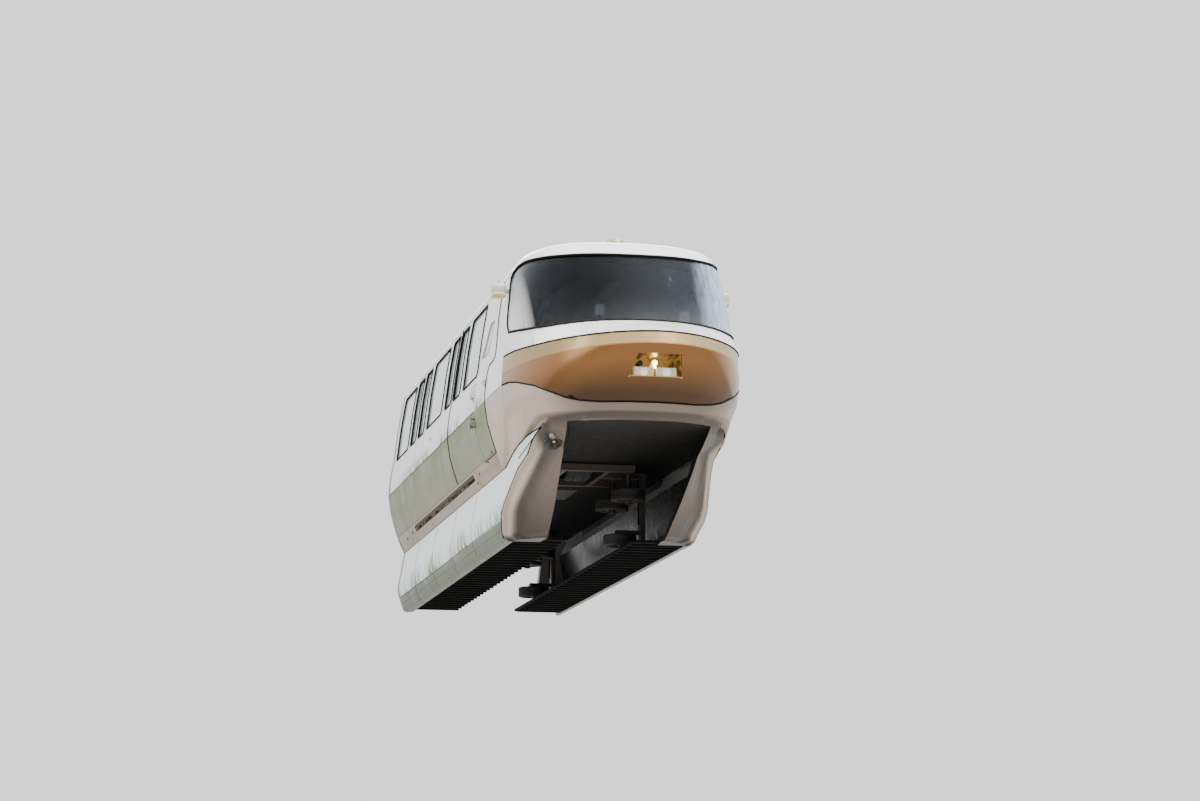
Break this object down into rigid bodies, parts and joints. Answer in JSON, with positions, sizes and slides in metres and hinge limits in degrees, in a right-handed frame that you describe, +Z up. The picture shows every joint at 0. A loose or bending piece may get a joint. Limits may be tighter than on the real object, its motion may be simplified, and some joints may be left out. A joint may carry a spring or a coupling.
{
  "type": "monorail car",
  "caption": "Nose car of a straddle-beam monorail train: raked cab, cabin with paired door leaves and wide windows, and skirts with guide wheels that hang over both sides of a beam",
  "frame": {"origin": "on the beam's top face, on the car's centre line, midway along the body", "axes": "+Z up, away from the beam; +Y from the nose towards the gangway end; +X across the car, so that the nose points along -Y and the two sides mirror each other in X"},
  "size_m": [2.774, 11.0833, 3.375],
  "materials": {
    "white_paint": "gloss",
    "gold_paint": "metallic gloss",
    "dark_glass": "gloss",
    "window_glass": "gloss",
    "black_rubber": "matte",
    "grey_rubber": "matte",
    "tyre_rubber": "matte",
    "floor_cover": "matte",
    "dark_steel": "satin",
    "dark_plastic": "matte",
    "lamp_glass": "gloss",
    "beacon_plastic": "gloss",
    "seat_fabric": "matte"
  },
  "bodies": {
    "car_body": {"roof": "white_paint", "side_wall_left": "white_paint", "side_wall_right": "white_paint", "nose_surround": "white_paint", "chin_panel": "gold_paint", "lower_fairing": "white_paint", "windscreen": "dark_glass", "door_left_front_fore": "white_paint", "door_left_front_aft": "white_paint", "door_left_rear_fore": "white_paint", "door_left_rear_aft": "white_paint", "side_glass_left_forward": "window_glass", "side_glass_left_middle": "window_glass", "side_glass_left_aft": "window_glass", "skirt_left": "white_paint", "skirt_liner_left": "black_rubber", "camera_pod_left": "white_paint", "door_right_front_fore": "white_paint", "door_right_front_aft": "white_paint", "door_right_rear_fore": "white_paint", "door_right_rear_aft": "white_paint", "side_glass_right_forward": "window_glass", "side_glass_right_middle": "window_glass", "side_glass_right_aft": "window_glass", "skirt_right": "white_paint", "skirt_liner_right": "black_rubber", "camera_pod_right": "white_paint", "floor_pan": "floor_cover", "rear_bulkhead": "white_paint", "gangway_bellows": "grey_rubber", "headlamp_unit": "lamp_glass", "roof_beacon": "beacon_plastic", "driver_desk": "dark_plastic", "driver_seat": "seat_fabric", "seat_front": "seat_fabric", "seat_rear": "seat_fabric", "traction_motor": "dark_steel", "bogie_frame_front": "dark_steel", "bogie_frame_rear": "dark_steel"},
    "cab_door_left_body": {"cab_door_left": "white_paint", "cab_door_glass_left": "window_glass"},
    "cab_door_right_body": {"cab_door_right": "white_paint", "cab_door_glass_right": "window_glass"},
    "load_wheel_front_body": {"load_wheel_front": "tyre_rubber"},
    "guide_wheel_left_front_fore_body": {"guide_wheel_left_front_fore": "tyre_rubber"},
    "guide_wheel_left_front_aft_body": {"guide_wheel_left_front_aft": "tyre_rubber"},
    "guide_wheel_left_front_lower_body": {"guide_wheel_left_front_lower": "tyre_rubber"},
    "guide_wheel_right_front_fore_body": {"guide_wheel_right_front_fore": "tyre_rubber"},
    "guide_wheel_right_front_aft_body": {"guide_wheel_right_front_aft": "tyre_rubber"},
    "guide_wheel_right_front_lower_body": {"guide_wheel_right_front_lower": "tyre_rubber"},
    "load_wheel_rear_body": {"load_wheel_rear": "tyre_rubber"},
    "guide_wheel_left_rear_fore_body": {"guide_wheel_left_rear_fore": "tyre_rubber"},
    "guide_wheel_left_rear_aft_body": {"guide_wheel_left_rear_aft": "tyre_rubber"},
    "guide_wheel_left_rear_lower_body": {"guide_wheel_left_rear_lower": "tyre_rubber"},
    "guide_wheel_right_rear_fore_body": {"guide_wheel_right_rear_fore": "tyre_rubber"},
    "guide_wheel_right_rear_aft_body": {"guide_wheel_right_rear_aft": "tyre_rubber"},
    "guide_wheel_right_rear_lower_body": {"guide_wheel_right_rear_lower": "tyre_rubber"}
  },
  "joints": [
    {"name": "cab_door_left_hinge", "type": "hinge", "parent": "car_body", "child": "cab_door_left_body", "pos_m": [-1.375, -1.432, 0.73], "axis": [0, 0, -1], "range_deg": [0, 75]},
    {"name": "cab_door_right_hinge", "type": "hinge", "parent": "car_body", "child": "cab_door_right_body", "pos_m": [1.375, -1.432, 0.73], "axis": [0, 0, 1], "range_deg": [0, 75]},
    {"name": "load_wheel_front_axle", "type": "hinge", "parent": "car_body", "child": "load_wheel_front_body", "pos_m": [0, -0.87, 0.43], "axis": [1, 0, 0], "continuous": true},
    {"name": "guide_wheel_left_front_fore_pin", "type": "hinge", "parent": "car_body", "child": "guide_wheel_left_front_fore_body", "pos_m": [-0.5303, -1.31, -0.22], "axis": [0, 0, 1], "continuous": true},
    {"name": "guide_wheel_left_front_aft_pin", "type": "hinge", "parent": "car_body", "child": "guide_wheel_left_front_aft_body", "pos_m": [-0.5303, -0.43, -0.22], "axis": [0, 0, 1], "continuous": true},
    {"name": "guide_wheel_left_front_lower_pin", "type": "hinge", "parent": "car_body", "child": "guide_wheel_left_front_lower_body", "pos_m": [-0.5303, -0.87, -0.7], "axis": [0, 0, 1], "continuous": true},
    {"name": "guide_wheel_right_front_fore_pin", "type": "hinge", "parent": "car_body", "child": "guide_wheel_right_front_fore_body", "pos_m": [0.5303, -1.31, -0.22], "axis": [0, 0, 1], "continuous": true},
    {"name": "guide_wheel_right_front_aft_pin", "type": "hinge", "parent": "car_body", "child": "guide_wheel_right_front_aft_body", "pos_m": [0.5303, -0.43, -0.22], "axis": [0, 0, 1], "continuous": true},
    {"name": "guide_wheel_right_front_lower_pin", "type": "hinge", "parent": "car_body", "child": "guide_wheel_right_front_lower_body", "pos_m": [0.5303, -0.87, -0.7], "axis": [0, 0, 1], "continuous": true},
    {"name": "load_wheel_rear_axle", "type": "hinge", "parent": "car_body", "child": "load_wheel_rear_body", "pos_m": [0, 4.695, 0.43], "axis": [1, 0, 0], "continuous": true},
    {"name": "guide_wheel_left_rear_fore_pin", "type": "hinge", "parent": "car_body", "child": "guide_wheel_left_rear_fore_body", "pos_m": [-0.5303, 4.255, -0.22], "axis": [0, 0, 1], "continuous": true},
    {"name": "guide_wheel_left_rear_aft_pin", "type": "hinge", "parent": "car_body", "child": "guide_wheel_left_rear_aft_body", "pos_m": [-0.5303, 5.135, -0.22], "axis": [0, 0, 1], "continuous": true},
    {"name": "guide_wheel_left_rear_lower_pin", "type": "hinge", "parent": "car_body", "child": "guide_wheel_left_rear_lower_body", "pos_m": [-0.5303, 4.695, -0.7], "axis": [0, 0, 1], "continuous": true},
    {"name": "guide_wheel_right_rear_fore_pin", "type": "hinge", "parent": "car_body", "child": "guide_wheel_right_rear_fore_body", "pos_m": [0.5303, 4.255, -0.22], "axis": [0, 0, 1], "continuous": true},
    {"name": "guide_wheel_right_rear_aft_pin", "type": "hinge", "parent": "car_body", "child": "guide_wheel_right_rear_aft_body", "pos_m": [0.5303, 5.135, -0.22], "axis": [0, 0, 1], "continuous": true},
    {"name": "guide_wheel_right_rear_lower_pin", "type": "hinge", "parent": "car_body", "child": "guide_wheel_right_rear_lower_body", "pos_m": [0.5303, 4.695, -0.7], "axis": [0, 0, 1], "continuous": true}
  ]
}
